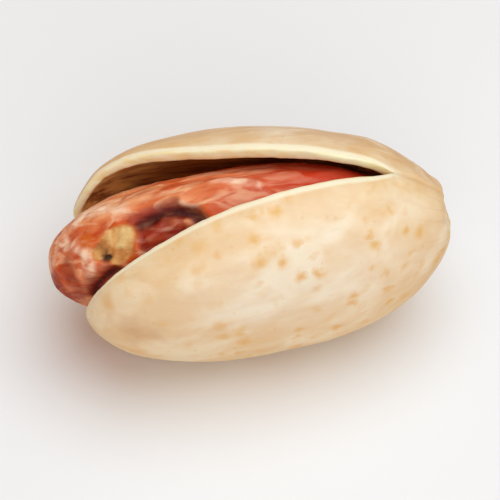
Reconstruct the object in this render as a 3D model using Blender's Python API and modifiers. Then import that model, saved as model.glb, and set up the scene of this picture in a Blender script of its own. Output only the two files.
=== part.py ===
"""Pistachio nut in its split shell, lying on its lower seam with the split facing up.

The shell is one woody piece. Its two valves are grown together at the stem end, and stand
apart along the seam from the tip. The seed is a loose second piece: it lies between the
valves and sticks out past their tips.

+X points to the stem end and +Z up. The seam lies in the XZ plane, and the nut is the same on
both sides of it. Lengths along X run from the middle of the shell while the nut is shaped. At
the end it is set down on z = 0 with its box centred on the origin.
"""

import math

import bmesh
import bpy
from mathutils import Matrix, Vector

MM = 0.001

# Shell, outside.
TIP_X = -10.2 * MM
STEM_X = 10.0 * MM
HALF_WIDTH = 4.65 * MM
HALF_HEIGHT = 6.65 * MM
WIDEST_X = 2.1 * MM
TOP_HIGHEST_X = 2.2 * MM
BOTTOM_LOWEST_X = -0.3 * MM
TIP_POWER = 0.575
STEM_POWER = 0.52

# The stem end sits higher than the tip: the middle line rises to it from here.
RISE = 1.0 * MM
RISE_FROM_X = 2.0 * MM

# The shoulders: before the stem end, each valve's top is fuller than an egg, by this share.
SHOULDER_X = 6.5 * MM
SHOULDER_LENGTH = 1.8 * MM
SHOULDER_SHARE = 0.055

# The stem scar: a shallow hollow on the seam, in the upper half of the stem end.
SCAR_X = 9.85 * MM
SCAR_Z = 1.9 * MM
SCAR_RADIUS = 1.8 * MM
SCAR_DEPTH = 0.4 * MM
SCAR_TILT = math.radians(15)

# Shell wall: thin at the open tips, thick at the stem end, and even between these two places.
WALL = 0.9 * MM
TIP_WALL = 0.5 * MM
TIP_WALL_TO_X = -5.5 * MM
STEM_WALL = 1.3 * MM
STEM_WALL_FROM_X = 5.0 * MM

# The split: where it ends on the upper and the lower seam, and how far each valve leans out.
# A valve bends sharply at the notches and softly at its side.
UPPER_NOTCH_X = 7.1 * MM
LOWER_NOTCH_X = 1.0 * MM
LEAN = 0.22
NOTCH_BEND = 0.15 * MM
SIDE_BEND = 6.0 * MM

# The groove along the closed part of the seam.
SEAM_GROOVE = 0.12 * MM

# The flat spot that the nut rests on.
FLAT_DEPTH = 0.25 * MM

# Seed.
SEED_TIP_X = -11.8 * MM
SEED_STEM_X = 7.6 * MM
SEED_WIDEST_X = 0.0
SEED_HALF_WIDTH = 3.8 * MM
SEED_TOP_HEIGHT = 5.5 * MM
SEED_BOTTOM_HEIGHT = 5.1 * MM
SEED_SIDE_POWER = 0.36
SEED_TOP_POWER = 0.46
SEED_BOTTOM_POWER = 0.85
SEED_STEM_POWER = 0.44
SEED_GROOVE = 0.12 * MM

SHELL_SEGMENTS = 40
SHELL_RINGS = 30
SEED_SEGMENTS = 28
SEED_RINGS = 22

SHELL_COLOUR = (0.80, 0.62, 0.38, 1.0)
SEED_COLOUR = (0.50, 0.13, 0.06, 1.0)

ON_SEAM = 1e-6
MERGE = 1e-5


def clear_scene():
    for obj in list(bpy.data.objects):
        bpy.data.objects.remove(obj, do_unlink=True)


def new_collection(name):
    collection = bpy.data.collections.new(name)
    bpy.context.scene.collection.children.link(collection)
    return collection


def principled(name, colour, roughness):
    material = bpy.data.materials.new(name)
    material.use_nodes = True
    shader = material.node_tree.nodes["Principled BSDF"]
    shader.inputs["Base Color"].default_value = colour
    shader.inputs["Roughness"].default_value = roughness
    shader.inputs["Metallic"].default_value = 0.0
    return material


def object_from(bm, name, collection):
    mesh = bpy.data.meshes.new(name)
    bm.to_mesh(mesh)
    bm.free()
    obj = bpy.data.objects.new(name, mesh)
    collection.objects.link(obj)
    return obj


def unit_ball(segments, rings):
    """A ball of radius 1 with its poles on X and two of its meridians in the XZ plane."""
    bm = bmesh.new()
    bmesh.ops.create_uvsphere(bm, u_segments=segments, v_segments=rings, radius=1.0)
    bmesh.ops.rotate(bm, verts=bm.verts, matrix=Matrix.Rotation(math.pi / 2, 3, "Y"))
    return bm


def around(point):
    """Where a point of the ball lies around the X axis, as the sine and cosine from +Z."""
    radius = math.hypot(point.y, point.z)
    return (point.y / radius, point.z / radius) if radius > ON_SEAM else (0.0, 0.0)


def ovoid(x, tip, widest, stem, tip_power, stem_power):
    """Share of the full half-width at x, for an egg from tip to stem that is widest between.
    A power of 0.5 makes an end elliptical, a lower one blunter and a higher one sharper."""
    end, power = (stem, stem_power) if x > widest else (tip, tip_power)
    share = min(1.0, abs((x - widest) / (end - widest)))
    return (1.0 - share**2) ** power


def middle_height(x):
    """The middle line is level as far as RISE_FROM_X, and rises from there to the stem end."""
    share = max(0.0, (x - RISE_FROM_X) / (STEM_X - RISE_FROM_X))
    return RISE * share**3


def shoulder(x, around_y, around_z):
    """How much fuller the shell is than the egg it follows, on its top beside the seam."""
    near = math.exp(-(((x - SHOULDER_X) / SHOULDER_LENGTH) ** 2))
    above, beside = max(0.0, min(1.0, 1.5 * around_z)), min(1.0, 1.5 * abs(around_y))
    return 1.0 + SHOULDER_SHARE * near * above * beside


def scar_hollow(outside):
    """How far the stem scar moves a point of the shell's outside: inwards, with a soft edge."""
    apart = (outside - Vector((SCAR_X, 0.0, SCAR_Z))).length
    share = min(1.0, apart / SCAR_RADIUS)
    depth = SCAR_DEPTH * (1.0 - share**2) ** 2
    return -depth * Vector((math.cos(SCAR_TILT), 0.0, math.sin(SCAR_TILT)))


def closed_shell(point):
    """The point of the unopened shell's outside that a point of the ball stands for."""
    x = (STEM_X + TIP_X) / 2 + point.x * (STEM_X - TIP_X) / 2
    around_y, around_z = around(point)
    highest = TOP_HIGHEST_X if around_z > 0 else BOTTOM_LOWEST_X
    y = HALF_WIDTH * around_y * ovoid(x, TIP_X, WIDEST_X, STEM_X, TIP_POWER, STEM_POWER)
    z = HALF_HEIGHT * around_z * ovoid(x, TIP_X, highest, STEM_X, TIP_POWER, STEM_POWER)
    full = shoulder(x, around_y, around_z)
    outside = Vector((x, full * y, full * z + middle_height(x)))
    return outside + scar_hollow(outside)


def half_gap(outside, sideways):
    """How far a valve stands off the seam's plane at a point of the unopened shell. sideways
    is 0 on the seam and 1 on the valve's side."""
    share = (outside.z + HALF_HEIGHT) / (2 * HALF_HEIGHT)
    hinge_x = LOWER_NOTCH_X + share * (UPPER_NOTCH_X - LOWER_NOTCH_X)
    reach = hinge_x - outside.x
    bend = NOTCH_BEND + (SIDE_BEND - NOTCH_BEND) * sideways
    if reach <= -bend:
        return 0.0
    if reach >= bend:
        return LEAN * reach
    return LEAN * (reach + bend) ** 2 / (4 * bend)


def open_valve(point):
    """The point of the gaping shell's front valve that a point of the half ball stands for."""
    outside = closed_shell(point)
    on_seam = abs(point.y) < ON_SEAM
    apart = half_gap(outside, abs(around(point)[0]))
    if on_seam and apart < MERGE:
        _, around_z = around(point)
        return Vector((outside.x, 0.0, outside.z - SEAM_GROOVE * around_z))
    return outside - Vector((0.0, apart, 0.0))


def make_valve(collection):
    """The outside of the front valve, as half a ball drawn out to its shape."""
    bm = unit_ball(SHELL_SEGMENTS, SHELL_RINGS)
    back = [vert for vert in bm.verts if vert.co.y > ON_SEAM]
    bmesh.ops.delete(bm, geom=back, context="VERTS")
    for vert in bm.verts:
        vert.co = open_valve(vert.co)
    shell = object_from(bm, "shell", collection)
    shell.data.materials.append(principled("shell", SHELL_COLOUR, 0.5))
    shell.data.shade_smooth()
    return shell


def add_second_valve(shell):
    """Mirrors the valve across the seam, and joins the two where the seam is closed."""
    mirror = shell.modifiers.new("second_valve", "MIRROR")
    mirror.use_axis = (False, True, False)
    mirror.merge_threshold = MERGE


def wall_thickness(x):
    stemward = max(0.0, (x - STEM_WALL_FROM_X) / (STEM_X - STEM_WALL_FROM_X))
    tipward = max(0.0, (TIP_WALL_TO_X - x) / (TIP_WALL_TO_X - TIP_X))
    return WALL + (STEM_WALL - WALL) * min(1.0, stemward) + (TIP_WALL - WALL) * min(1.0, tipward)


def add_wall(shell):
    """Thickens the shell inwards, by an amount that changes along it."""
    group = shell.vertex_groups.new(name="wall")
    for vert in shell.data.vertices:
        group.add([vert.index], wall_thickness(vert.co.x) / STEM_WALL, "REPLACE")
    solidify = shell.modifiers.new("wall", "SOLIDIFY")
    solidify.thickness = STEM_WALL
    solidify.offset = -1.0
    solidify.vertex_group = group.name


def cut_flat_spot(shell, collection):
    """A block below the nut planes the lowest part of the shell flat."""
    side = 4 * HALF_HEIGHT
    bm = bmesh.new()
    bmesh.ops.create_cube(bm, size=side)
    block = object_from(bm, "flat_spot_cutter", collection)
    block.location = (0.0, 0.0, FLAT_DEPTH - HALF_HEIGHT - side / 2)
    block.hide_render = True
    block.display_type = "WIRE"
    cut = shell.modifiers.new("flat_spot", "BOOLEAN")
    cut.operation = "DIFFERENCE"
    cut.solver = "EXACT"
    cut.object = block
    return block


def seed_outside(point):
    """The point of the seed that a point of the ball stands for. Its tip is blunt from above
    and drawn in below, where the valves are closest together."""
    x = (SEED_STEM_X + SEED_TIP_X) / 2 + point.x * (SEED_STEM_X - SEED_TIP_X) / 2
    around_y, around_z = around(point)
    height, tip_power = (
        (SEED_TOP_HEIGHT, SEED_TOP_POWER) if around_z > 0 else (SEED_BOTTOM_HEIGHT, SEED_BOTTOM_POWER)
    )
    side = ovoid(x, SEED_TIP_X, SEED_WIDEST_X, SEED_STEM_X, SEED_SIDE_POWER, SEED_STEM_POWER)
    rise = ovoid(x, SEED_TIP_X, SEED_WIDEST_X, SEED_STEM_X, tip_power, SEED_STEM_POWER)
    groove = SEED_GROOVE if abs(point.y) < ON_SEAM else 0.0
    y = SEED_HALF_WIDTH * around_y * side
    z = (height - groove) * around_z * rise
    return Vector((x, y, z + middle_height(x)))


def make_seed(collection):
    """The seed: two seed leaves in one skin, with a shallow groove where they meet."""
    bm = unit_ball(SEED_SEGMENTS, SEED_RINGS)
    for vert in bm.verts:
        vert.co = seed_outside(vert.co)
    kernel = object_from(bm, "kernel", collection)
    kernel.data.materials.append(principled("seed_skin", SEED_COLOUR, 0.4))
    kernel.data.shade_smooth()
    return kernel


def set_down(parts, cutter):
    """Moves the nut so that its flat spot is on z = 0 and its box is centred on the origin."""
    lengthways = [vert.co.x for part in parts for vert in part.data.vertices]
    middle_x = (max(lengthways) + min(lengthways)) / 2
    move = Vector((-middle_x, 0.0, HALF_HEIGHT - FLAT_DEPTH))
    for obj in (*parts, cutter):
        obj.location += move


def main():
    clear_scene()
    nut = new_collection("pistachio_in_shell")
    cutters = new_collection("cutters")
    shell = make_valve(nut)
    add_second_valve(shell)
    add_wall(shell)
    cutter = cut_flat_spot(shell, cutters)
    kernel = make_seed(nut)
    set_down((shell, kernel), cutter)


main()
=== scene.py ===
"""Looks of the pistachio in its shell: a fine shell and a fine kernel in place of the two CAD
solids, on a pale floor. Shapes are worked out in millimetres, in the frame that the nut was
designed in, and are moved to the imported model's frame when a mesh is made."""

import math
from itertools import product

import bmesh
import bpy
import numpy as np
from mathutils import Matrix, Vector


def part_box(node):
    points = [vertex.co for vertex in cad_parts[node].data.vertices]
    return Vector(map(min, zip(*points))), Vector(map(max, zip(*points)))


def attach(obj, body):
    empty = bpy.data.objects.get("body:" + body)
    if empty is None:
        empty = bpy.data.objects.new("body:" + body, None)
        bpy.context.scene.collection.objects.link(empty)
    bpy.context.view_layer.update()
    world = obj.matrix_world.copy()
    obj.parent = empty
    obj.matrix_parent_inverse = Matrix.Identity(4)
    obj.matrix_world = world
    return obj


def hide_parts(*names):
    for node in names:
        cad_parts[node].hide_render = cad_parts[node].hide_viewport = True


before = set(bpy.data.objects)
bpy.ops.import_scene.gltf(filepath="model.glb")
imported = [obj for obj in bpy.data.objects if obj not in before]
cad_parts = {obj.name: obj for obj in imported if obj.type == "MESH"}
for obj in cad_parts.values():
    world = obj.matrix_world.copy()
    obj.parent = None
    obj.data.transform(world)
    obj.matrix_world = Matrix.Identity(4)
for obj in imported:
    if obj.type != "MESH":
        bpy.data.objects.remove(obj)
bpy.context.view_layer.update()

MM = 0.001

# The shell's design, as the CAD part has it.
TIP_X, STEM_X = -10.2, 10.0
HALF_WIDTH, HALF_HEIGHT = 4.65, 6.65
WIDEST_X, TOP_HIGHEST_X, BOTTOM_LOWEST_X = 2.1, 2.2, -0.3
TIP_POWER, STEM_POWER = 0.575, 0.52
RISE, RISE_FROM_X = 1.0, 2.0
WALL, TIP_WALL, STEM_WALL = 0.9, 0.5, 1.3
TIP_WALL_TO_X, STEM_WALL_FROM_X = -5.5, 5.0
UPPER_NOTCH_X, LOWER_NOTCH_X = 7.1, 1.0
LEAN, NOTCH_BEND, SIDE_BEND = 0.22, 0.15, 6.0
FLAT_DEPTH = 0.25
SHOULDER_X, SHOULDER_LENGTH, SHOULDER_SHARE = 6.5, 1.8, 0.055

# The seed's.
SEED_TIP_X, SEED_STEM_X, SEED_WIDEST_X = -11.8, 7.6, 0.0
SEED_HALF_WIDTH, SEED_TOP_HEIGHT, SEED_BOTTOM_HEIGHT = 3.8, 5.5, 5.1
SEED_SIDE_POWER, SEED_TOP_POWER, SEED_BOTTOM_POWER, SEED_STEM_POWER = 0.36, 0.46, 0.85, 0.44

# The stem scar's middle, its size, the way it faces, and the relief in and round it. A small
# knob stands beside it.
SCAR = np.array([9.85, 0.0, 1.9])
SCAR_RADIUS, SCAR_DEPTH = 1.8, 0.4
SCAR_TILT = math.radians(15)
SCAR_OUT = np.array([math.cos(SCAR_TILT), 0.0, math.sin(SCAR_TILT)])
SCAR_RING, SCAR_PIT, SCAR_ROUGHNESS = 0.05, 0.10, 0.07
SCAR_FOLDS, FOLD_COUNT = 0.03, 7
KNOB, KNOB_RADIUS, KNOB_HEIGHT = np.array([9.35, 0.9, 2.75]), 0.55, 0.12

# The closed seam: its groove's depth above and below, its half-width, and its two lips.
UPPER_GROOVE, LOWER_GROOVE, GROOVE_WIDTH = 0.04, 0.08, 0.12
SEAM_LIP, SEAM_LIP_FROM_MIDDLE, SEAM_LIP_WIDTH = 0.03, 0.38, 0.2

# How far the rims stand out between their rounded corners, over what length from the split's
# end that builds up, and how square they are: 2 would make them round.
RIM_ROUNDING, RIM_STARTS_OVER, RIM_SQUARENESS = 0.2, 1.6, 2.8

# The channel along a rim: its place as a share of the way through the wall, how far that
# wanders, its half-width as such a share, and its depth.
CHANNEL, CHANNEL_WANDER, CHANNEL_WIDTH, CHANNEL_DEPTH = 0.93, 0.05, 0.12, 0.03

# How far the back valve's upper rim is bent outwards and up near its tip, and how far the
# front valve's is bent inwards and up along its middle.
FLARE_OUT, FLARE_UP = 0.42, 0.26
CURL_IN, CURL_UP = 0.13, 0.22

# Soft brown and orange stains on the front valve near its tip: half-width and place.
BROWN_STAINS = ((0.9, (-7.7, -5.2, 0.6)), (0.7, (-6.7, -5.2, 0.5)))
ORANGE_STAINS = ((0.6, (-7.7, -4.7, -1.7)), (0.5, (-9.0, -4.2, 1.9)))

# The upper split's end: where it is, and how much wider than in the CAD part it is before that.
SPLIT_END_X, SPLIT_WIDER = 7.0, 0.10

# Heights and depths of the shell's relief. Furrows are deeper and the rest is rougher at the
# stem end.
SHELL_LUMPS, SHELL_DENTS, SHELL_PITS = 0.09, 0.028, 0.025
FURROWS, STEM_FURROWS, STEM_ROUGHNESS = 0.006, 0.02, 0.05
RIM_SWELLING = 0.05

# The same of the seed's. Its wrinkles are lower in front, where folds are given one by one.
SEED_LUMPS, SEED_WRINKLES, SEED_FRONT_WRINKLES = 0.15, 0.10, 0.04
SEED_VEINS, SEED_ROUGHNESS, SEED_CLEFT = 0.03, 0.04, 0.12
TORN_DEPTH, TORN_CORE, TORN_EDGE, TORN_ROUGHNESS, HOLE_DEPTH = 0.09, 0.10, 0.05, 0.06, 0.35

# The seed's top is higher where the split narrows: how much, where, and over what half-length.
SEED_RISE, SEED_RISE_X, SEED_RISE_LENGTH = 0.62, 5.0, 2.8

# Taken off the seed's relief, so that the wrinkles don't make the seed bigger.
WRINKLE_MEAN = 0.1

# Folds of the seed's skin. Hollows are coloured with painted shade and ridges with painted
# highlights. Each has its height, its half-width, how strongly it is coloured, and the line that it
# follows: x, and degrees round the seed from its top, negative in front.
HOLLOWS = (
    (-0.42, 0.46, 1.0,
     ((-8.0, -21), (-7.1, -17), (-6.2, -12), (-5.3, -9), (-4.5, -12), (-3.8, -20), (-3.2, -36))),
    (-0.10, 0.42, 0.3, ((-11.2, -24), (-10.95, -40), (-10.7, -56), (-10.4, -70))),
    (-0.22, 0.36, 0.9, ((-8.1, -49), (-8.8, -58), (-9.5, -71), (-9.8, -90))),
)
RIDGES = (
    (0.10, 0.42, 1.0, ((-10.9, 14), (-10.2, 20), (-9.6, 22), (-8.9, 14), (-8.1, 8), (-7.1, 4))),
    (0.04, 0.42, 1.0, ((-11.3, 30), (-11.1, 12), (-10.9, -8), (-10.8, -24))),
    (0.03, 0.22, 0.6, ((-5.0, -1), (-4.5, -4), (-4.0, -9), (-3.6, -15))),
    (0.10, 0.27, 1.0, ((-3.3, 12), (-2.4, 11), (-1.5, 9), (-0.8, 5), (-0.2, -2))),
    (0.11, 0.40, 1.0, ((-10.7, -12), (-10.3, -23), (-9.8, -36), (-9.7, -46), (-10.1, -56))),
    (0.12, 0.22, 0.4, ((-7.0, -33), (-5.9, -27), (-4.8, -22))),
    (0.17, 1.30, 0.0,
     ((-11.4, 40), (-11.7, -20), (-11.4, -75), (-10.8, -100), (-9.9, -122), (-8.9, -138))),
)
# The part of the front that is sunk below the crease.
LOBES = (
    (-0.20, 0.80, 1.0, ((-7.2, -38), (-6.3, -33), (-5.3, -29), (-4.2, -25))),
)
# Places of a darker brick red, partly the skin's own colour and partly painted shade round the
# crease and near the front valve's rim: half-width, strength and line.
SHADES = (
    (0.36, 1.0, ((-8.1, -8), (-7.2, -7), (-6.2, -5), (-5.2, -2), (-4.5, -2))),
    (0.36, 1.0, ((-7.2, -26), (-6.2, -21), (-5.2, -18), (-4.3, -21))),
    (0.36, 1.0, ((-7.3, -8), (-7.2, -18), (-7.0, -30), (-6.7, -44))),
    (0.34, 1.0, ((-7.0, -42), (-5.9, -37), (-5.0, -32), (-4.1, -27), (-3.2, -20))),
    (0.65, 1.0, ((-7.7, -50), (-8.8, -54), (-9.5, -68), (-9.7, -85))),
    (0.60, 0.9, ((-11.4, -32), (-11.1, -46), (-10.8, -62), (-10.5, -80), (-10.2, -98))),
    (0.90, 1.0, ((-11.75, -60), (-11.5, -88), (-10.9, -108), (-10.2, -125))),
)

# The torn place in the skin: it lies round a bent line. Inside it are a pale core, a paler and
# a browner patch and a hole. Left of it the skin has an orange spot.
TEAR_WIDTH = 0.46
TEAR = ((-9.2, -35), (-8.8, -25), (-8.2, -19), (-7.8, -25), (-7.9, -36), (-8.4, -41))
TEAR_CORE = (0.36, ((-7.8, -13), (-7.85, -25), (-7.95, -38)))
TEAR_PALE = (0.14, ((-8.5, -11), (-8.7, -20), (-8.5, -31)))
TEAR_BROWN = (0.30, ((-9.4, -21), (-9.1, -30), (-8.7, -37)))
TEAR_HOLE = (0.33, (-8.93, -41))
ORANGE_SPOT = (0.5, (-9.85, -18))

# Fineness of the meshes.
ROWS, COLUMNS, INNER_STEP, RIM_STEPS = 210, 126, 2, 11
SEED_ROWS, SEED_COLUMNS = 300, 300

# The shell's usual radius round its long axis, and the usual distance between its rows.
USUAL_RADIUS, ROW_SPACING = 5.0, 0.1

FROM_DESIGN = np.array([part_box("shell")[0].x / MM - TIP_X, 0.0, HALF_HEIGHT - FLAT_DEPTH])


# ---------------------------------------------------------------- noise and small functions


class Noise:
    """Gradient noise in three dimensions, about -1 to 1, the same on every run. It has about
    one wave per unit, so it is given points divided by the length of a wave."""

    def __init__(self, seed):
        rng = np.random.default_rng(seed)
        self.table = rng.permutation(256)
        slopes = rng.normal(size=(256, 3))
        self.slopes = slopes / np.linalg.norm(slopes, axis=1, keepdims=True)

    def __call__(self, points):
        cell = np.floor(points).astype(int)
        inside = points - cell
        blend = inside**3 * (inside * (inside * 6 - 15) + 10)
        total = np.zeros(points.shape[:-1])
        for corner in product((0, 1), repeat=3):
            index = self.table[(cell[..., 0] + corner[0]) & 255]
            index = self.table[(index + cell[..., 1] + corner[1]) & 255]
            index = self.table[(index + cell[..., 2] + corner[2]) & 255]
            rise = ((inside - corner) * self.slopes[index]).sum(-1)
            share = np.where(np.array(corner) == 1, blend, 1 - blend).prod(-1)
            total += share * rise
        return total * 1.6


def layered(noise, points, octaves):
    """Noise with finer and weaker copies of itself added."""
    total, weight, size = 0.0, 1.0, 0.0
    for octave in range(octaves):
        total = total + weight * noise(points * 2.03**octave + 17.3 * octave)
        size += weight
        weight *= 0.5
    return total / size


def ramp(value, low, high):
    """0 below low, 1 above high and smooth between."""
    share = np.clip((value - low) / (high - low), 0.0, 1.0)
    return share * share * (3 - 2 * share)


def bell(value, width):
    """1 at 0, and falling away on both sides."""
    return np.exp(-((value / width) ** 2))


def ovoid(x, tip, widest, stem, tip_power, stem_power):
    """Share of the full half-width at x, for an egg from tip to stem that is widest between."""
    stemward = x > widest
    share = np.clip(np.abs((x - widest) / (np.where(stemward, stem, tip) - widest)), 0, 1)
    return (1 - share**2) ** np.where(stemward, stem_power, tip_power)


def middle_height(x):
    """The height of the nut's long axis, which rises towards the stem."""
    return RISE * np.clip((x - RISE_FROM_X) / (STEM_X - RISE_FROM_X), 0, 1) ** 3


def smooth_path(corners, steps=10):
    """Points along a smooth curve through the corners."""
    corners = np.asarray(corners, float)
    before, after = 2 * corners[0] - corners[1], 2 * corners[-1] - corners[-2]
    ends = np.vstack([before, corners, after])
    share = np.linspace(0, 1, steps, endpoint=False)[:, None]
    runs = []
    for a, b, c, d in zip(ends, ends[1:], ends[2:], ends[3:]):
        square, cube = 2 * a - 5 * b + 4 * c - d, 3 * b - a - 3 * c + d
        runs.append(b + 0.5 * ((c - a) * share + square * share**2 + cube * share**3))
    return np.vstack([*runs, corners[-1:]])


# ---------------------------------------------------------------- meshes


def vertex_normals(points, faces):
    """Area-weighted normals of a mesh whose faces are quads, some with a corner repeated."""
    corners = points[faces]
    across = np.cross(corners[:, 2] - corners[:, 0], corners[:, 3] - corners[:, 1])
    total = np.zeros_like(points)
    for corner in range(4):
        np.add.at(total, faces[:, corner], across)
    return total / np.maximum(np.linalg.norm(total, axis=1, keepdims=True), 1e-12)


def outward_normals(points, faces):
    """Normals of a body round the origin, turned to face away from it."""
    normals = vertex_normals(points, faces)
    return -normals if (normals * points).sum() < 0 else normals


def grid_faces(ids, flip):
    """The quads of a grid of vertex numbers."""
    quads = np.stack([ids[:-1, :-1], ids[1:, :-1], ids[1:, 1:], ids[:-1, 1:]], -1)
    quads = quads.reshape(-1, 4)
    return quads[:, ::-1] if flip else quads


def make_object(name, points, faces, values, material):
    """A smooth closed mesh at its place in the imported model's frame, with its painted values."""
    used, faces = np.unique(faces, return_inverse=True)
    faces = [tuple(dict.fromkeys(face)) for face in faces.reshape(-1, 4).tolist()]
    faces = [face for face in faces if len(face) > 2]
    mesh = bpy.data.meshes.new(name)
    mesh.from_pydata(((points[used] + FROM_DESIGN) * MM).tolist(), [], faces)
    bm = bmesh.new()
    bm.from_mesh(mesh)
    bmesh.ops.recalc_face_normals(bm, faces=bm.faces)
    bm.to_mesh(mesh)
    bm.free()
    mesh.shade_smooth()
    for key, value in values.items():
        layer = mesh.attributes.new(key, "FLOAT", "POINT")
        layer.data.foreach_set("value", np.asarray(value[used], np.float32))
    mesh.materials.append(material)
    piece = bpy.data.objects.new(name, mesh)
    bpy.context.scene.collection.objects.link(piece)
    return piece


# ---------------------------------------------------------------- shell


def half_gap(x, z, sideways):
    """How far a valve stands off the seam's plane, as in the CAD part."""
    share = (z + HALF_HEIGHT) / (2 * HALF_HEIGHT)
    reach = LOWER_NOTCH_X + share * (UPPER_NOTCH_X - LOWER_NOTCH_X) - x
    bend = NOTCH_BEND + (SIDE_BEND - NOTCH_BEND) * sideways
    bending = LEAN * (reach + bend) ** 2 / (4 * bend)
    return np.where(reach <= -bend, 0.0, np.where(reach >= bend, LEAN * reach, bending))


def wall_thickness(x):
    """The wall, thin at the tips and thick at the stem end, as in the CAD part."""
    stemward = np.clip((x - STEM_WALL_FROM_X) / (STEM_X - STEM_WALL_FROM_X), 0, 1)
    tipward = np.clip((TIP_WALL_TO_X - x) / (TIP_WALL_TO_X - TIP_X), 0, 1)
    return WALL + (STEM_WALL - WALL) * stemward + (TIP_WALL - WALL) * tipward


def rim_thinning(points, seam):
    """The wall's share that is left near the upper seam: the rim is thinner than the wall
    behind it, most of all where the split ends."""
    share = 0.18 + 0.30 * ramp(points[:, 0], 0.5, 5.5)
    return 1 - share * bell(seam, 1.5) * (points[:, 2] > 0)


def row_places():
    """x of each row of the shell's grid, from the tip to the stem, evenly along the outline."""
    share = np.linspace(0, 1, ROWS + 1)
    return (TIP_X + STEM_X) / 2 - np.cos(np.pi * share) * (STEM_X - TIP_X) / 2


def column_angles():
    """The angle of each column from the upper seam, closer together at the two seams."""
    share = np.linspace(0, 1, COLUMNS + 1)
    return np.pi * share - 0.3 * np.sin(2 * np.pi * share) / 2


def split_end(upper):
    """x of the place where the upper or the lower split ends."""
    return np.where(upper, SPLIT_END_X, LOWER_NOTCH_X)


def rim_bend(x, angle, side):
    """How far out and up a valve's upper rim is bent: flared at the back, curled in front."""
    if side > 0:
        flare = bell(angle, 0.55) * ramp(-x, 2.2, 7.5) * ramp(x, TIP_X, TIP_X + 1.6)
        return FLARE_OUT * flare, FLARE_UP * flare
    curl = bell(angle, 0.45) * bell(x + 1.8, 4.6)
    return -CURL_IN * curl, CURL_UP * curl


def valve_outside(side):
    """The grid of a valve's outside before any relief, and where it is grown to the other."""
    x = row_places()[:, None]
    angle = column_angles()[None, :]
    around_y, around_z = np.sin(angle) + 0 * x, np.cos(angle) + 0 * x
    around_y[:, [0, -1]] = 0.0
    highest = np.where(around_z > 0, TOP_HIGHEST_X, BOTTOM_LOWEST_X)
    beside = np.clip(1.5 * around_z, 0, 1) * np.clip(1.5 * around_y, 0, 1)
    full = 1 + SHOULDER_SHARE * bell(x - SHOULDER_X, SHOULDER_LENGTH) * beside
    half_width = full * HALF_WIDTH * ovoid(x, TIP_X, WIDEST_X, STEM_X, TIP_POWER, STEM_POWER)
    height = full * ovoid(x + 0 * angle, TIP_X, highest, STEM_X, TIP_POWER, STEM_POWER)
    z = HALF_HEIGHT * around_z * height + middle_height(x)
    notch = split_end(around_z > 0)
    back = RIM_ROUNDING * ramp(notch - x, 0.0, RIM_STARTS_OVER)
    share_back = half_width**2 / (half_width**2 + 4 * RIM_ROUNDING**2)
    y = half_gap(x, z, around_y) + back + around_y * (half_width - back * share_back)
    y = y + SPLIT_WIDER * bell(angle, 0.4) * ramp(SPLIT_END_X - x, 0.0, 0.8) * ramp(x, 3.5, 5.8)
    closed = (around_y == 0.0) & (x > notch - 0.08)
    y = np.where(closed, 0.0, y)
    out, up = rim_bend(x, angle, side)
    return np.stack([x + 0 * angle, side * (y + out), z + up], -1), closed


def shell_ids(closed):
    """Vertex numbers of the two valves' grids. The valves share the stem's pole and the closed
    parts of the seam, and each tip is one vertex."""
    rows, columns = closed.shape
    front = np.arange(rows * columns).reshape(rows, columns)
    back = front + rows * columns
    back = np.where(closed, front, back)
    for ids in (front, back):
        ids[0, :] = ids[0, 0]
        ids[-1, :] = front[-1, 0]
    return front, back


def shell_relief(points, seam):
    """How far the shell's outside stands above its plain shape, and how deep in a furrow each point
    is, for the painted shade in the furrows. seam is the distance to the seam."""
    x, y, z = points.T
    turn = np.stack([y, z], -1)
    turn = turn / np.maximum(np.linalg.norm(turn, axis=1, keepdims=True), 0.4)
    lumps = layered(Noise(1), points / 5.5, 2)
    dents = layered(Noise(2), points / [2.6, 1.7, 1.7], 3)
    along = np.column_stack([x * 0.11, turn * 4.2])
    along[:, 1:] += 0.25 * Noise(8)(points / 3.0)[:, None]
    furrow = bell(layered(Noise(3), along, 3), 0.085)
    near_stem = ramp(x, 6.5, 10.0)
    pits = ramp(layered(Noise(4), points / 0.5, 2), 0.40, 0.62)
    relief = SHELL_LUMPS * lumps + SHELL_DENTS * dents - SHELL_PITS * pits
    relief -= (FURROWS + STEM_FURROWS * near_stem) * furrow
    relief += RIM_SWELLING * bell(seam, 0.9) * ramp(x, -10.5, -6.0)
    relief += STEM_ROUGHNESS * near_stem * layered(Noise(15), points / [1.0, 0.7, 0.7], 3)
    return relief, furrow * (0.1 + 0.4 * near_stem)


def stained(points, stains):
    """1 in the middle of a stain, 0 away from all of them, with ragged edges."""
    ragged = 1 + 0.5 * Noise(16)(points / 0.6)
    away = [np.linalg.norm(points - place, axis=1) * ragged / width for width, place in stains]
    return bell(np.min(away, axis=0), 1.0)


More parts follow.
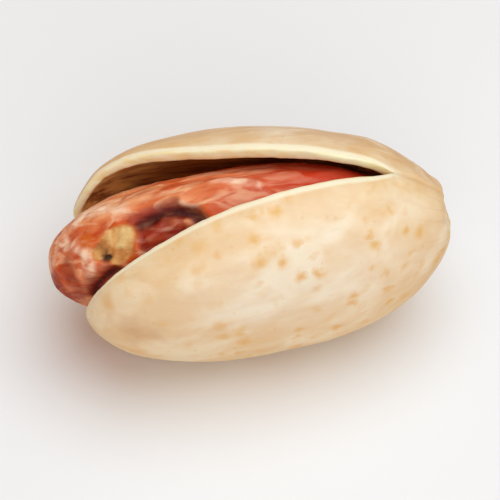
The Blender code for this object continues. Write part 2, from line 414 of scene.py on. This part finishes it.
def scar_relief(points):
    """The stem scar: a worn hollow with a small rough pit, and folds that run into it. Also how
    much of the scar and of its pit is at each point. Places far below the scar, at the nut's
    other end, count as far from its middle."""
    apart = points - SCAR
    up = apart @ SCAR_OUT
    flat = apart - up[:, None] * SCAR_OUT
    share = np.clip(np.linalg.norm(apart, axis=1) / SCAR_RADIUS, 0, 1)
    hollow = -SCAR_DEPTH * (1 - share**2) ** 2
    radius = np.linalg.norm(flat, axis=1) * np.where(up > -2.5, 1, 9)
    radius = radius * (1 + 0.2 * Noise(5)(points / 0.9))
    upward = flat @ np.array([-SCAR_OUT[2], 0, SCAR_OUT[0]])
    ring = SCAR_RING * bell(radius - 1.0, 0.3)
    knob = KNOB_HEIGHT * bell(np.linalg.norm(points - KNOB, axis=1), KNOB_RADIUS)
    pit = -SCAR_PIT * ramp(-radius, -0.45, -0.15)
    rough = SCAR_ROUGHNESS * layered(Noise(6), points / 0.3, 3) * bell(radius, 0.8)
    turn = FOLD_COUNT * np.arctan2(flat[:, 1], upward) + 2 * Noise(7)(points / 1.4)
    folds = SCAR_FOLDS * np.sin(turn) * bell(radius - 1.6, 0.6)
    relief = hollow + ring + knob + pit + rough + folds
    return relief, bell(radius, 0.8), ramp(-radius, -0.4, -0.15)


def closed_seam(points):
    """The groove where the valves are grown together, with a low lip on each side of it, and
    how much of the groove is at each point."""
    x, y, z = points.T
    on_ridge = ramp(np.abs(z - middle_height(x)), 0.3, 1.4)
    closed = ramp(x - split_end(z > 0), -0.3, 0.5)
    wander = 0.06 * Noise(9)(points / [1.3, 9, 9])
    groove = bell(y - wander, GROOVE_WIDTH)
    lips = bell(np.abs(y - wander) - SEAM_LIP_FROM_MIDDLE, SEAM_LIP_WIDTH)
    wear = 0.75 + 0.5 * Noise(10)(points / 0.8)
    depth = np.where(z > 0, UPPER_GROOVE, LOWER_GROOVE)
    relief = closed * on_ridge * wear * (SEAM_LIP * lips - depth * groove)
    return relief, closed * on_ridge * groove


def rim_path(closed):
    """The grid places along a valve's rim: the upper notch, the tip, the lower notch."""
    upper = int(np.argmax(closed[:, 0]))
    lower = int(np.argmax(closed[:, -1]))
    rows = list(range(upper, 0, -1)) + [0] + list(range(1, lower + 1))
    columns = [0] * upper + [0] + [closed.shape[1] - 1] * lower
    return rows, columns


def rim_strip(outer, inner, side):
    """The points across the wall's edge between an outer and an inner seam line, bulged into
    the gap with rounded corners and a shallow channel between two lips. Both ends are left
    out."""
    across = inner - outer
    ahead = np.gradient(outer, axis=0)
    out = np.cross(ahead, across)
    out /= np.maximum(np.linalg.norm(out, axis=1, keepdims=True), 1e-9)
    out *= np.where(out[:, 1:2] * side > 0, -1.0, 1.0)
    turn = np.linspace(0, np.pi, RIM_STEPS + 2)[1:-1]
    power = 2 / RIM_SQUARENESS
    share = (1 - np.sign(np.cos(turn)) * np.abs(np.cos(turn)) ** power) / 2
    bulge = np.sin(turn) ** power * (0.8 + 0.5 * share)
    count = np.arange(len(outer))
    from_notch = np.minimum(count, count[::-1]) * ROW_SPACING
    height = RIM_ROUNDING * ramp(from_notch, 0.0, RIM_STARTS_OVER)
    wear = 1 + 0.3 * layered(Noise(11 + int(side)), outer / 0.9, 3)
    points = outer[:, None] + share[None, :, None] * across[:, None]
    points = points + (height * wear)[:, None, None] * bulge[None, :, None] * out[:, None]
    middle = CHANNEL + CHANNEL_WANDER * Noise(12)(outer / 2.2)
    channel = bell(share[None, :] - middle[:, None], CHANNEL_WIDTH)
    rough = 0.05 * layered(Noise(13), points / [1.2, 0.5, 0.5], 2) - CHANNEL_DEPTH * channel
    points = points + (height / RIM_ROUNDING)[:, None, None] * rough[..., None] * out[:, None]
    return points, share, channel


def painted_places(points, angle, seam):
    """Masks for the shell's colours: the pale lip beside each rim, partly the edge's own paler
    colour and partly a painted highlight; the valves' pale crowns, partly painted light; the fibrous
    strip below the back valve's upper rim, partly painted shade; and the stains near the front
    valve's tip."""
    x, y, z = points.T
    return {
        "lip": ramp(-seam, -0.42, -0.2) * ramp(split_end(z > 0) - x, -0.4, 0.8),
        "crown": bell(x - 1.0, 7.5) * bell(angle - 0.95, 0.78),
        "upper": bell(seam - 2.6, 2.2) * (z > 0) * (y > 0),
        "stain": stained(points, BROWN_STAINS),
        "rust": stained(points, ORANGE_STAINS),
    }


def build_shell(material):
    """The shell: both valves with the relief on their outside and an uneven wall, grown
    together where the seam is closed."""
    front, closed = valve_outside(-1)
    back, _ = valve_outside(1)
    grids = shell_ids(closed)
    points = np.concatenate([front.reshape(-1, 3), back.reshape(-1, 3)])
    faces = np.concatenate([grid_faces(grids[0], False), grid_faces(grids[1], True)])
    normals = outward_normals(points, faces)
    angle = np.tile(column_angles(), 2 * (ROWS + 1))
    seam = np.minimum(angle, np.pi - angle) * USUAL_RADIUS
    relief, furrow = shell_relief(points, seam)
    scar, scar_mask, pit_mask = scar_relief(points)
    seam_cut, seam_mask = closed_seam(points)
    relief = relief * (1 - 0.6 * scar_mask) + scar + seam_cut * (1 - scar_mask)
    outer = points + normals * relief[:, None]
    wall = wall_thickness(points[:, 0]) * rim_thinning(points, seam)
    wall = wall + 0.05 * layered(Noise(14), points / [2.5, 0.9, 0.9], 2)
    inner = points - normals * wall[:, None]
    for ids in grids:
        outer[ids[closed], 1] = 0.0
        inner[ids[closed], 1] = 0.0
    masks = {"furrow": furrow, "scar": scar_mask, "pit": pit_mask, "seam": seam_mask}
    masks.update(painted_places(points, angle, seam))
    return assemble_shell(outer, inner, grids, closed, seam, masks, material)


def assemble_shell(outer, inner, grids, closed, seam, masks, material):
    """Joins outside, cavity and rims into one closed mesh. Beside the masks it paints how far
    through the wall a point is, whether it is on a rim, how far into a rim's channel, and how
    far from the seam. The two rims share their end rows, which lie across the seam."""
    count = len(outer)
    points, faces = [outer, inner], []
    inside = [np.zeros(count), np.ones(count)]
    rim, channel = [np.zeros(2 * count)], [np.zeros(2 * count)]
    rows, columns = rim_path(closed)
    start = 2 * count
    ends = {}
    for grid, side in zip(grids, (-1, 1)):
        faces.append(grid_faces(grid, side > 0))
        faces.append(grid_faces(grid[:, ::INNER_STEP] + count, side < 0))
        edge = grid[rows, columns]
        strip, share, furrow = rim_strip(outer[edge], inner[edge], side)
        ids = start + np.arange(furrow.size).reshape(furrow.shape)
        for place in (0, -1):
            if side < 0:
                ends[place] = ids[place].copy()
            else:
                ids[place] = ends[place]
        faces.append(grid_faces(np.column_stack([edge, ids, edge + count]), side > 0))
        points.append(strip.reshape(-1, 3))
        inside.append(np.tile(share, len(strip)))
        rim.append(np.ones(furrow.size))
        channel.append(furrow.reshape(-1))
        start += furrow.size
    points = np.concatenate(points)
    points[:, 2] = np.maximum(points[:, 2], -HALF_HEIGHT + FLAT_DEPTH)
    none = np.zeros(len(points) - count)
    values = {key: np.concatenate([mask, none]) for key, mask in masks.items()}
    values["inside"] = np.concatenate(inside)
    values["rim"] = np.concatenate(rim)
    values["channel"] = np.concatenate(channel)
    values["depth"] = np.concatenate([seam, seam, np.zeros(len(points) - 2 * count)])
    return make_object("fine_shell", points, np.concatenate(faces), values, material)


# ---------------------------------------------------------------- kernel


def seed_plain(x, angle):
    """Points of the seed's plain shape, at x and at an angle from its top, negative in front."""
    up = np.cos(angle) > 0
    side = ovoid(x, SEED_TIP_X, SEED_WIDEST_X, SEED_STEM_X, SEED_SIDE_POWER, SEED_STEM_POWER)
    power = np.where(up, SEED_TOP_POWER, SEED_BOTTOM_POWER)
    rise = ovoid(x, SEED_TIP_X, SEED_WIDEST_X, SEED_STEM_X, power, SEED_STEM_POWER)
    height = np.where(up, SEED_TOP_HEIGHT, SEED_BOTTOM_HEIGHT)
    y = SEED_HALF_WIDTH * np.sin(angle) * side
    z = height * np.cos(angle) * rise + middle_height(x)
    return np.stack([x, y, z], -1)


def nearest(points, line):
    """The distance from each point to a line's nearest point, and how far along that is."""
    square = (points**2).sum(1)[:, None] - 2 * points @ line.T + (line**2).sum(1)[None, :]
    closest = np.argmin(square, axis=1)
    apart = np.sqrt(np.maximum(square[np.arange(len(points)), closest], 0.0))
    return apart, closest / max(1, len(line) - 1)


def apart_from(points, corners):
    """The distance from each point to a wandering line drawn on the seed, and how far along
    the line that is."""
    path = smooth_path(corners)
    wander = np.column_stack([Noise(seed)(points / [1.3, 0.8, 0.8]) for seed in (31, 32, 33)])
    return nearest(points + 0.16 * wander, seed_plain(path[:, 0], np.radians(path[:, 1])))


def stroke(points, width, corners):
    """1 on a line drawn on the seed, 0 away from it. It changes its width and fades out towards
    its ends."""
    apart, along = apart_from(points, corners)
    width = width * (1 + 0.4 * Noise(34)(points / 0.7))
    return bell(apart, width) * np.clip(np.sin(np.pi * along) * 2.2, 0, 1)


def drawn(points, folds):
    """The relief of a set of folds, and how strongly any of them is at each point."""
    relief, mask = np.zeros(len(points)), np.zeros(len(points))
    for height, width, paint, corners in folds:
        near = stroke(points, width, corners)
        relief += height * near
        mask = np.maximum(mask, near * paint)
    return relief, mask


def spot(points, width, place):
    """1 at a place on the seed, given as x and degrees from the top, and 0 away from it."""
    middle = seed_plain(np.array([place[0]]), np.radians([place[1]]))
    return bell(np.linalg.norm(points - middle, axis=1), width)


def seed_tear(points):
    """The place near the tip where the skin has come off, and the painted values there."""
    ragged = 0.22 * layered(Noise(22), points / [0.8, 0.5, 0.5], 3)
    away = apart_from(points, TEAR)[0] + ragged
    tear = ramp(-away, -TEAR_WIDTH - 0.08, -TEAR_WIDTH + 0.08)
    worn = 1 + 0.5 * layered(Noise(29), points / 0.35, 2)
    core = np.clip(stroke(points, *TEAR_CORE) * worn, 0, 1)
    core = np.maximum(core, 0.6 * stroke(points, *TEAR_PALE))
    values = {"tear": tear, "core": core, "brown": stroke(points, *TEAR_BROWN)}
    edge = np.maximum(0.6 * bell(away - TEAR_WIDTH, 0.28), spot(points, *ORANGE_SPOT))
    hole = np.clip(spot(points, *TEAR_HOLE) * (1.6 * worn - 0.6), 0, 1)
    return {**values, "edge": edge, "hole": hole}


def seed_relief(points, angle):
    """How far the seed's skin stands above the plain shape, and its painted values."""
    x = points[:, 0]
    turn = np.stack([np.sin(angle), np.cos(angle)], -1)
    lumps = layered(Noise(23), points / 3.6, 2)
    along = np.column_stack([x * 0.2, turn * 3.4])
    along[:, 1:] += 0.22 * Noise(24)(points / 2.2)[:, None]
    wrinkles = 1 - np.abs(layered(Noise(25), along, 3)) * 2.2
    veins = layered(Noise(26), np.column_stack([x * 0.55, turn * 11.0]), 3)
    rough = layered(Noise(30), points / [0.9, 0.5, 0.5], 3)
    cleft = bell(np.abs(angle) - np.pi, 0.10) + bell(angle, 0.10) * ramp(x, 0, 4)
    designed = bell(x + 6.5, 5.0) * ramp(-np.abs(angle + 0.6), -1.5, -0.6)
    wrinkled = SEED_WRINKLES + (SEED_FRONT_WRINKLES - SEED_WRINKLES) * designed
    relief = SEED_LUMPS * lumps + wrinkled * wrinkles + SEED_VEINS * veins
    relief += SEED_ROUGHNESS * rough - SEED_CLEFT * cleft
    relief += SEED_RISE * bell(x - SEED_RISE_X, SEED_RISE_LENGTH) * bell(angle, 0.5)
    hollow, dark = drawn(points, HOLLOWS)
    ridge, pale = drawn(points, RIDGES)
    sunk, lobe = drawn(points, LOBES)
    shade = np.max([strength * stroke(points, width, line) for width, strength, line in SHADES], 0)
    values = seed_tear(points)
    tear = values["tear"]
    relief += hollow + ridge + sunk + TORN_EDGE * values["edge"] * (1 - tear)
    grain = TORN_ROUGHNESS * layered(Noise(28), points / 0.3, 2)
    under = SEED_LUMPS * lumps - TORN_DEPTH + TORN_CORE * values["core"] + grain
    relief = relief * (1 - tear) + under * tear - HOLE_DEPTH * values["hole"]
    # Painted shade in the wrinkles' valleys, added to the darker red.
    wrinkle_shade = np.clip(-wrinkles * 0.9, 0, 1) * (1 - designed)
    values["shade"] = np.clip(shade + 0.5 * wrinkle_shade, 0, 1)
    return relief, {**values, "dark": dark, "pale": pale, "lobe": lobe}


def build_seed(material):
    """The seed as one grid that is closed at both ends. Near each end the relief fades into
    its mean there, so that the end stays smooth."""
    share = np.linspace(0, 1, SEED_ROWS + 1)[:, None]
    angle = np.linspace(-np.pi, np.pi, SEED_COLUMNS, endpoint=False)[None, :] + 0 * share
    x = (SEED_STEM_X + SEED_TIP_X) / 2 - np.cos(np.pi * share) * (SEED_STEM_X - SEED_TIP_X) / 2
    points = seed_plain(x + 0 * angle, angle).reshape(-1, 3)
    ids = np.arange(angle.size).reshape(angle.shape)
    ids[0, :] = ids[0, 0]
    ids[-1, :] = ids[-1, 0]
    faces = grid_faces(np.column_stack([ids, ids[:, :1]]), False)
    normals = outward_normals(points, faces)
    relief, values = seed_relief(points, angle.reshape(-1))
    for end in (SEED_TIP_X, SEED_STEM_X):
        near = ramp(-np.abs(points[:, 0] - end), -0.3, 0.0)
        relief = relief * (1 - near) + relief[near > 0.1].mean() * near
    points = points + normals * (relief[:, None] - WRINKLE_MEAN)
    return make_object("fine_kernel", points, faces, values, material)


# ---------------------------------------------------------------- materials


def linear(red, green, blue):
    """A display colour, 0 to 255, as the shader wants it."""
    parts = [c / 255 for c in (red, green, blue)]
    parts = [c / 12.92 if c <= 0.04045 else ((c + 0.055) / 1.055) ** 2.4 for c in parts]
    return (*parts, 1.0)


class Nodes:
    """Short names for building a node material."""

    def __init__(self, name):
        self.material = bpy.data.materials.new(name)
        self.material.use_nodes = True
        self.tree = self.material.node_tree
        self.shader = self.tree.nodes["Principled BSDF"]
        coordinates = self.tree.nodes.new("ShaderNodeTexCoord")
        self.place = coordinates.outputs["Object"]

    def link(self, value, socket):
        """Joins an output to a socket, or sets the socket to a plain value."""
        if hasattr(value, "links"):
            self.tree.links.new(value, socket)
        else:
            socket.default_value = value

    def math(self, operation, first, second=0.0, clamp=False):
        node = self.tree.nodes.new("ShaderNodeMath")
        node.operation = operation
        node.use_clamp = clamp
        self.link(first, node.inputs[0])
        self.link(second, node.inputs[1])
        return node.outputs[0]

    def times(self, first, second):
        """The product, between 0 and 1."""
        return self.math("MULTIPLY", first, second, clamp=True)

    def attribute(self, name):
        node = self.tree.nodes.new("ShaderNodeAttribute")
        node.attribute_name = name
        return node.outputs["Fac"]

    def scaled(self, scale, rise):
        """The place in waves, along axes whose first one is tilted up by so many degrees."""
        node = self.tree.nodes.new("ShaderNodeMapping")
        node.vector_type = "TEXTURE"
        node.inputs["Rotation"].default_value = (0.0, -math.radians(rise), 0.0)
        node.inputs["Scale"].default_value = [1 / waves for waves in scale]
        self.link(self.place, node.inputs["Vector"])
        return node.outputs[0]

    def noise(self, scale, detail=3.0, roughness=0.5, distortion=0.0, rise=0.0):
        """Noise with this many waves per metre along each axis, the first of which is tilted
        up by rise degrees."""
        node = self.tree.nodes.new("ShaderNodeTexNoise")
        node.inputs["Scale"].default_value = 1.0
        node.inputs["Detail"].default_value = detail
        node.inputs["Roughness"].default_value = roughness
        node.inputs["Distortion"].default_value = distortion
        self.link(self.scaled(scale, rise), node.inputs["Vector"])
        return node.outputs["Fac"]

    def along_x(self, low, high):
        """0 below one x in metres, 1 above another and smooth between."""
        node = self.tree.nodes.new("ShaderNodeSeparateXYZ")
        self.link(self.place, node.inputs[0])
        return self.ramp(node.outputs[0], low, high)

    def spots(self, per_metre, radius, softness, kept):
        """Soft round spots of different sizes, one to a cell at most, bent by noise. kept is
        the share of cells that have one."""
        wobble = self.tree.nodes.new("ShaderNodeTexNoise")
        wobble.inputs["Scale"].default_value = per_metre * 1.6
        self.link(self.place, wobble.inputs["Vector"])
        shift = self.tree.nodes.new("ShaderNodeVectorMath")
        shift.operation = "MULTIPLY_ADD"
        self.link(wobble.outputs["Color"], shift.inputs[0])
        shift.inputs[1].default_value = (0.7 / per_metre,) * 3
        self.link(self.place, shift.inputs[2])
        cells = self.tree.nodes.new("ShaderNodeTexVoronoi")
        cells.inputs["Scale"].default_value = per_metre
        self.link(shift.outputs[0], cells.inputs["Vector"])
        lot = self.tree.nodes.new("ShaderNodeSeparateColor")
        self.link(cells.outputs["Color"], lot.inputs[0])
        size = self.math("MULTIPLY_ADD", lot.outputs[1], 0.6)
        size.node.inputs[2].default_value = 0.6
        reach = self.math("DIVIDE", cells.outputs["Distance"], size)
        dot = self.ramp(reach, radius * (1 + softness), radius * (1 - softness))
        return self.times(dot, self.math("LESS_THAN", lot.outputs[0], kept))

    def ramp(self, value, low, high, bottom=0.0, top=1.0):
        """bottom where value is below low, top where it is above high and smooth between."""
        node = self.tree.nodes.new("ShaderNodeMapRange")
        node.interpolation_type = "SMOOTHSTEP"
        self.link(value, node.inputs["Value"])
        node.inputs["From Min"].default_value = low
        node.inputs["From Max"].default_value = high
        node.inputs["To Min"].default_value = bottom
        node.inputs["To Max"].default_value = top
        return node.outputs[0]

    def mix(self, share, first, second):
        """The first colour at share 0, the second at share 1."""
        node = self.tree.nodes.new("ShaderNodeMix")
        node.data_type = "RGBA"
        self.link(share, node.inputs[0])
        self.link(first, node.inputs[6])
        self.link(second, node.inputs[7])
        return node.outputs[2]

    def painted(self, under, name, strength, colour):
        """A colour laid over another one where the mesh has a painted value."""
        return self.mix(self.times(self.attribute(name), strength), under, colour)

    def bump(self, height, distance, strength=1.0, normal=None):
        node = self.tree.nodes.new("ShaderNodeBump")
        node.inputs["Strength"].default_value = strength
        node.inputs["Distance"].default_value = distance
        self.link(height, node.inputs["Height"])
        if normal is not None:
            self.link(normal, node.inputs["Normal"])
        return node.outputs[0]

    def subsurface(self, weight, radius, scale):
        self.shader.inputs["Subsurface Weight"].default_value = weight
        self.shader.inputs["Subsurface Radius"].default_value = radius
        self.shader.inputs["Subsurface Scale"].default_value = scale


def shell_outside(n):
    """The outside's colour: cream, palest on the valve's crown, which is partly painted light, with
    soft mottling, faint fibres, tan freckles, painted shade in the furrows and on the back valve's
    top, and a painted highlight on the lips beside the rims."""
    mottle = n.ramp(n.noise((260, 420, 420), 3.0, 0.5, 0.3, 25), 0.34, 0.66)
    tan = n.mix(mottle, linear(241, 215, 171), linear(234, 199, 150))
    pale = n.mix(mottle, linear(251, 236, 212), linear(246, 225, 195))
    # The paler crown is partly the shell's own tone and partly painted light on the upper middle of
    # each valve; away from it the shell stays tanner.
    crown = n.math("ADD", n.attribute("crown"), n.ramp(mottle, 0, 1, 0.16, -0.16), clamp=True)
    colour = n.mix(crown, tan, pale)
    streak = n.noise((110, 1500, 1500), 3.0, 0.6, 0.4, 12)
    colour = n.mix(n.ramp(streak, 0.50, 0.78, 0, 0.14), colour, linear(218, 172, 116))
    stain = n.noise((150, 300, 300), 3.0, 0.5, 0.5, 25)
    colour = n.mix(n.ramp(stain, 0.52, 0.72, 0, 0.32), colour, linear(230, 186, 126))
    cluster = n.ramp(n.noise((150, 260, 260), 2.0, rise=25), 0.38, 0.54)
    cluster = n.times(cluster, n.ramp(n.along_x(-0.007, 0.003), 0, 1, 0.5, 1.0))
    cluster = n.times(cluster, n.ramp(n.attribute("upper"), 0, 1, 1.0, 0.2))
    freckle = n.spots(1000, 0.30, 1.0, 0.62)
    colour = n.mix(n.times(n.times(cluster, freckle), 0.85), colour, linear(232, 178, 88))
    patch = n.times(n.ramp(n.noise((420, 620, 620), 3.0, 0.5, 1.0, 25), 0.54, 0.72), cluster)
    colour = n.mix(n.times(patch, 0.32), colour, linear(232, 182, 108))
    dust = n.spots(2300, 0.22, 0.6, 0.12)
    colour = n.mix(n.times(dust, 0.25), colour, linear(220, 162, 90))
    # Painted shade in the furrows, strongest at the stem end.
    colour = n.painted(colour, "furrow", 0.4, linear(204, 154, 96))
    # Darker tan fibres below the back valve's upper rim: partly the shell's own fibres, partly
    # painted shade on the back valve's top.
    grown = n.noise((120, 1100, 1100), 4.0, 0.6, 0.5, 4)
    grown = n.times(n.ramp(grown, 0.28, 0.62), n.ramp(n.attribute("upper"), 0, 1, 0, 0.65))
    colour = n.mix(grown, colour, linear(212, 158, 92))
    colour = n.painted(colour, "stain", 0.6, linear(206, 158, 108))
    colour = n.painted(colour, "rust", 0.6, linear(228, 172, 96))
    # The pale lip beside each rim: partly the edge's own paler colour, partly a painted highlight
    # along the rim.
    colour = n.painted(colour, "lip", 0.8, linear(255, 244, 214))
    return n.painted(colour, "seam", 0.35, linear(214, 164, 104))


def shell_material():
    """The outside's colour, the scar, a cavity with painted shade that deepens away from the split
    and painted light towards its tip and stem end, and pale rims with painted shade in their
    channels.
    """
    n = Nodes("pistachio_shell")
    inside, rim = n.attribute("inside"), n.attribute("rim")
    colour = shell_outside(n)
    rough = n.ramp(n.noise((2600, 2600, 2600), 3.0), 0.4, 0.65)
    scar = n.mix(rough, linear(252, 236, 206), linear(232, 200, 152))
    colour = n.painted(colour, "scar", 0.75, scar)
    colour = n.painted(colour, "pit", 0.6, linear(176, 124, 74))
    fibres = n.ramp(n.noise((150, 1500, 1500), 4.0, 0.65), 0.35, 0.68)
    # The cavity's colours are painted light and shade: golden near the split, painted shade deeper
    # in, and the lighter lit colour towards the tip and the stem end as painted light.
    near = n.mix(fibres, linear(255, 234, 160), linear(226, 148, 66))
    far = n.mix(fibres, linear(206, 122, 52), linear(128, 60, 20))
    lit = n.mix(fibres, linear(250, 196, 112), linear(146, 74, 26))
    far = n.mix(n.along_x(-0.008, -0.002), lit, far)
    far = n.mix(n.along_x(0.003, 0.006), far, lit)
    cavity = n.mix(n.ramp(n.attribute("depth"), 2.5, 6.5), near, far)
    colour = n.mix(n.ramp(inside, 0.80, 1.0), colour, cavity)
    worn = n.ramp(n.noise((500, 2400, 2400), 3.0), 0.35, 0.7)
    edge = n.mix(worn, linear(255, 244, 206), linear(252, 228, 172))
    # The brown in the rim's channel is painted shade.
    edge = n.painted(edge, "channel", 0.35, linear(222, 164, 92))
    colour = n.mix(n.times(rim, n.ramp(inside, 1.02, 0.84)), colour, edge)
    n.link(colour, n.shader.inputs["Base Color"])
    gloss = n.noise((700, 900, 900), 3.0)
    n.link(n.ramp(gloss, 0.25, 0.75, 0.44, 0.60), n.shader.inputs["Roughness"])
    fine = n.noise((2200, 3600, 3600), 4.0, 0.6)
    grain = n.noise((260, 3800, 3800), 3.0, 0.6)
    normal = n.bump(fine, 0.03 * MM, 0.5)
    normal = n.bump(grain, 0.03 * MM, 0.45, normal)
    n.link(normal, n.shader.inputs["Normal"])
    n.subsurface(0.3, (1.0, 0.6, 0.3), 0.9 * MM)
    return n.material


def seed_skin(n):
    """The skin: salmon and brick red, streaked, with painted shade in folds and painted highlights
    on ridges.
    """
    broad = n.noise((150, 300, 300), 3.0, 0.5, 0.6)
    colour = n.mix(n.ramp(broad, 0.38, 0.64), linear(248, 172, 118), linear(214, 90, 40))
    streak = n.noise((300, 1500, 1500), 4.0, 0.6, 0.6)
    colour = n.mix(n.ramp(streak, 0.46, 0.70, 0, 0.62), colour, linear(174, 54, 20))
    # Pale pink patches: partly the skin's own paler flakes, partly painted highlights.
    blush_and_sheen = n.noise((430, 1300, 1300), 3.0, 0.5, 0.8)
    colour = n.mix(n.ramp(blush_and_sheen, 0.48, 0.66, 0, 0.55), colour, linear(255, 208, 162))
    colour = n.mix(n.times(n.along_x(-0.003, 0.006), 0.9), colour, linear(206, 36, 10))
    uneven = n.ramp(streak, 0.35, 0.65, 0.65, 1.0)
    lobe = n.times(n.ramp(n.attribute("lobe"), 0.15, 0.8), uneven)
    colour = n.mix(n.times(lobe, 0.95), colour, linear(158, 30, 12))
    # Darker brick red: partly the skin's own colour, partly painted shade round the crease, near the
    # front valve's rim and in the wrinkles.
    shade = n.times(n.ramp(n.attribute("shade"), 0.1, 0.9), uneven)
    colour = n.mix(n.times(shade, 0.9), colour, linear(138, 32, 12))
    # Painted highlights on the ridges, pinkish cream.
    pale = n.times(n.ramp(n.attribute("pale"), 0.1, 0.9), n.ramp(blush_and_sheen, 0.38, 0.60, 0.25, 0.95))
    colour = n.mix(pale, colour, linear(255, 218, 186))
    # Painted shade in the folds, darkest where the hollows and the crease are deepest.
    folds = n.times(n.ramp(n.attribute("dark"), 0.06, 0.75), n.ramp(streak, 0.3, 0.6, 0.8, 1.0))
    fold_shade = n.mix(n.along_x(-0.0080, -0.0060), linear(136, 34, 18), linear(104, 12, 4))
    fold_shade = n.mix(n.ramp(n.attribute("dark"), 0.5, 1.0), fold_shade, linear(62, 8, 6))
    return n.mix(folds, colour, fold_shade)


def seed_material():
    """The skin, and the pale seed where the skin is torn, with painted shade in its small hole."""
    n = Nodes("pistachio_skin")
    colour = seed_skin(n)
    speckle = n.ramp(n.noise((1500, 1500, 1500), 3.0, 0.6), 0.40, 0.62)
    torn = n.times(n.ramp(n.attribute("edge"), 0.1, 0.9), n.ramp(speckle, 0, 1, 0.5, 0.9))
    colour = n.mix(torn, colour, linear(206, 100, 26))
    meat = n.mix(speckle, linear(224, 166, 98), linear(202, 132, 70))
    heart = n.mix(speckle, linear(234, 204, 142), linear(222, 184, 118))
    meat = n.painted(meat, "brown", 0.7, linear(146, 92, 44))
    meat = n.mix(n.attribute("core"), meat, heart)
    colour = n.mix(n.attribute("tear"), colour, meat)
    # The hole's near-black is painted shade.
    hole = n.ramp(n.attribute("hole"), 0.1, 1.0)
    colour = n.mix(n.times(hole, 0.95), colour, linear(44, 28, 18))
    n.link(colour, n.shader.inputs["Base Color"])
    gloss = n.ramp(n.noise((900, 1800, 1800), 3.0), 0.2, 0.8, 0.32, 0.52)
    gloss = n.math("ADD", gloss, n.times(n.attribute("dark"), 0.3))
    gloss = n.math("ADD", gloss, n.times(n.attribute("tear"), 0.25))
    n.link(gloss, n.shader.inputs["Roughness"])
    fine = n.noise((1500, 3000, 3000), 4.0, 0.6)
    grain = n.noise((350, 3400, 3400), 3.0, 0.6)
    normal = n.bump(fine, 0.05 * MM, 0.6)
    normal = n.bump(grain, 0.06 * MM, 0.7, normal)
    n.link(normal, n.shader.inputs["Normal"])
    n.shader.inputs["Specular IOR Level"].default_value = 0.25
    n.subsurface(0.12, (1.0, 0.35, 0.2), 0.6 * MM)
    return n.material


def floor_material():
    """Plain and pale, with hardly any grain."""
    n = Nodes("floor")
    grain = n.noise((60, 60, 60), 3.0)
    n.link(n.mix(grain, linear(239, 239, 239), linear(241, 241, 241)), n.shader.inputs["Base Color"])
    n.shader.inputs["Roughness"].default_value = 0.6
    return n.material


# ---------------------------------------------------------------- stage, lights and camera

# In metres, watts and degrees: two cool soft lights, one above and one in front, in a warmer
# room, and the camera.
KEY = dict(place=(0.05, 0.0, 0.27), size=0.30, watts=0.67, colour=(0.73, 0.89, 1.0))
FILL = dict(place=(0.01, -0.215, 0.185), size=0.22, watts=0.25, colour=(0.88, 0.95, 1.0))
ROOM = dict(strength=0.36, colour=(1.0, 0.64, 0.40))
CAMERA = dict(azimuth=-6.4, elevation=54.0, distance=0.36, width=0.027, middle=(0, 0, 0.0062))


def add_floor():
    """A flat square under the nut, far wider than the picture."""
    bm = bmesh.new()
    bmesh.ops.create_grid(bm, x_segments=1, y_segments=1, size=1.5)
    mesh = bpy.data.meshes.new("floor")
    bm.to_mesh(mesh)
    bm.free()
    mesh.materials.append(floor_material())
    floor = bpy.data.objects.new("floor", mesh)
    bpy.context.scene.collection.objects.link(floor)


def add_light(name, place, size, watts, colour):
    """A round soft light that shines at the origin."""
    light = bpy.data.lights.new(name, "AREA")
    light.shape = "DISK"
    light.size = size
    light.energy = watts
    light.color = colour
    lamp = bpy.data.objects.new(name, light)
    lamp.location = place
    lamp.rotation_euler = Vector(place).to_track_quat("Z", "Y").to_euler()
    bpy.context.scene.collection.objects.link(lamp)


def add_world(strength, colour):
    """An even light from all round."""
    world = bpy.data.worlds.new("studio")
    bpy.context.scene.world = world
    world.use_nodes = True
    sky = world.node_tree.nodes["Background"]
    sky.inputs["Color"].default_value = (*colour, 1.0)
    sky.inputs["Strength"].default_value = strength


def add_camera(azimuth, elevation, distance, width, middle):
    """A camera that looks at middle from azimuth and elevation in degrees. width is how much of
    the scene, in metres, fills the picture there. At azimuth 0 it looks along +Y."""
    turn, up = math.radians(azimuth), math.radians(elevation)
    away = Vector((math.sin(turn) * math.cos(up), -math.cos(turn) * math.cos(up), math.sin(up)))
    camera = bpy.data.cameras.new("camera")
    camera.lens = camera.sensor_width * distance / width
    camera.clip_start = 0.005
    holder = bpy.data.objects.new("camera", camera)
    holder.location = Vector(middle) + away * distance
    holder.rotation_euler = away.to_track_quat("Z", "Y").to_euler()
    bpy.context.scene.collection.objects.link(holder)
    bpy.context.scene.camera = holder


def main():
    shell = build_shell(shell_material())
    kernel = build_seed(seed_material())
    for piece, node, slot in ((shell, "shell", "shell"), (kernel, "kernel", "kernel_skin")):
        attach(piece, "root")
        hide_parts(node)
    add_floor()
    add_world(**ROOM)
    add_light("key", **KEY)
    add_light("fill", **FILL)
    add_camera(**CAMERA)
    bpy.context.scene.view_settings.view_transform = "Standard"


main()
